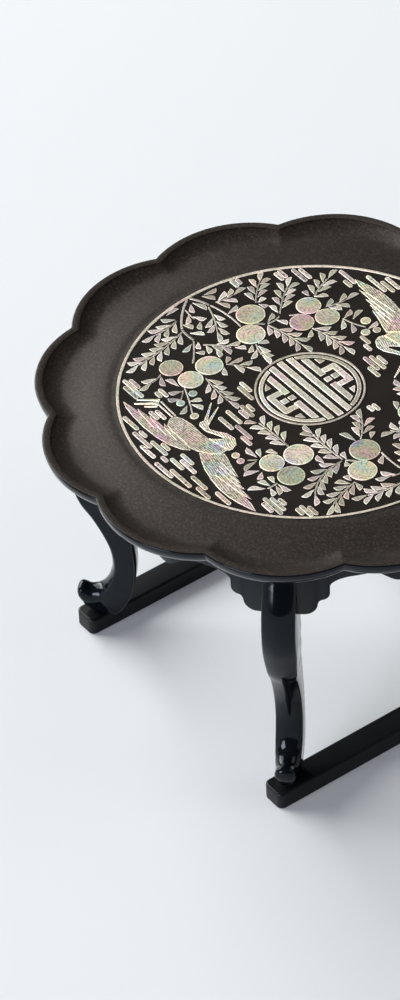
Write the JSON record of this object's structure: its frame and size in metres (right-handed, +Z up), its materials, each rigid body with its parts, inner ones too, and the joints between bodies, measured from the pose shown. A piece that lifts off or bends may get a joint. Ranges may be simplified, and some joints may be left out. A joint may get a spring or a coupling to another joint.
{
  "type": "low tray table",
  "caption": "Low lacquered tray table: lobed dished top with cut shell inlay, cabriole legs with upturned toes, cusped aprons and two floor runners.",
  "frame": {"origin": "on the floor, under the middle of the tray", "axes": "+Z up; the two runners lie along Y, one on each side at +X and -X; X and Y cross the table's level flats, with the legs on the diagonals"},
  "size_m": [0.323, 0.323, 0.203],
  "materials": {
    "tray_lacquer": "satin",
    "ground_lacquer": "satin",
    "frame_lacquer": "gloss",
    "shell_white": "gloss",
    "shell_green": "gloss",
    "shell_pink": "gloss",
    "bamboo": "matte"
  },
  "bodies": {
    "root": {"tray": "tray_lacquer", "lacquer_ground": "ground_lacquer", "border_ring": "shell_white", "medallion_ring": "shell_white", "medallion_band": "shell_white", "medallion_fret": "shell_white", "crane_front": "shell_green", "crane_back": "shell_green", "peaches": "shell_pink", "berries": "shell_white", "leaves": "shell_green", "boughs": "shell_white", "clouds": "shell_white", "leg_front_right": "frame_lacquer", "leg_back_right": "frame_lacquer", "leg_back_left": "frame_lacquer", "leg_front_left": "frame_lacquer", "apron_right": "frame_lacquer", "apron_back": "frame_lacquer", "apron_left": "frame_lacquer", "apron_front": "frame_lacquer", "runner_right": "frame_lacquer", "runner_left": "frame_lacquer", "top_dowels": "bamboo", "foot_pegs": "bamboo"}
  },
  "joints": []
}
